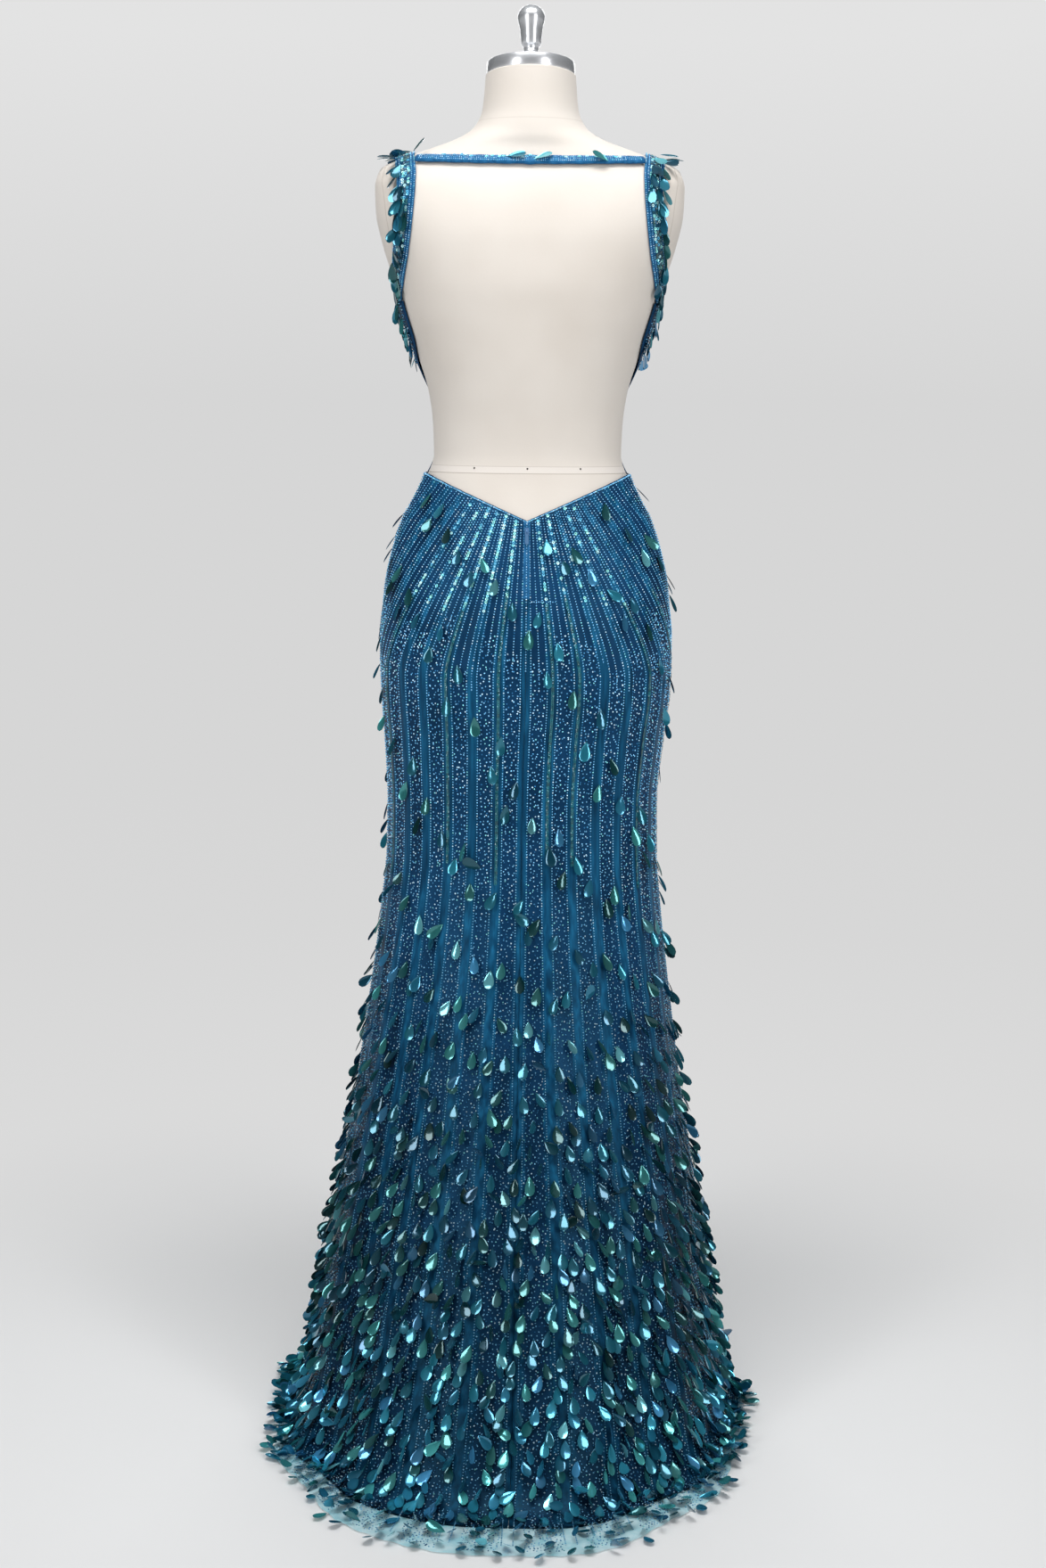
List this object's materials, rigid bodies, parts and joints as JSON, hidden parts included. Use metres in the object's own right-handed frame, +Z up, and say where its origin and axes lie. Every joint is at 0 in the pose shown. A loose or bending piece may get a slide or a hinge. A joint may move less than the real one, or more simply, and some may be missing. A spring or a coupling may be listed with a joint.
{
  "type": "backless beaded evening gown with a short train on a dress form with its stand",
  "caption": "Floor-length backless gown of beaded cloth with shoulder straps, a strap across the upper back, a short train and a zip, on a limbless dress form.",
  "frame": {"origin": "centre of the stand base's underside, on the floor", "axes": "+Z up; the gown's front faces -Y and its back, with the zip and the train, faces +Y; +X is the wearer's left"},
  "size_m": [0.5864, 0.7469, 1.7269],
  "materials": {
    "beaded_cloth": "fine net with beads over an opaque satin lining",
    "strap_cloth": "satin-faced strap cloth",
    "polished_metal": "polished",
    "form_cloth": "plain matte cotton",
    "stand_metal": "satin grey paint"
  },
  "bodies": {
    "gown_on_form": {"skirt_front": "beaded_cloth", "skirt_back_left": "beaded_cloth", "skirt_back_right": "beaded_cloth", "bodice_left": "beaded_cloth", "bodice_right": "beaded_cloth", "shoulder_strap_left": "strap_cloth", "shoulder_strap_right": "strap_cloth", "back_strap": "strap_cloth", "zip_folds": "strap_cloth", "zip_slider": "polished_metal", "neck_cap": "polished_metal", "neck_knob": "polished_metal", "form_body": "form_cloth", "stand_pole": "stand_metal", "stand_base": "stand_metal"},
    "pull": {"zip_pull": "polished_metal"}
  },
  "joints": [
    {"name": "zip_pull_hinge", "type": "hinge", "parent": "gown_on_form", "child": "pull", "pos_m": [0, 0.1002, 1.10248], "axis": [1, 0, 0], "range_deg": [0, 165]}
  ]
}
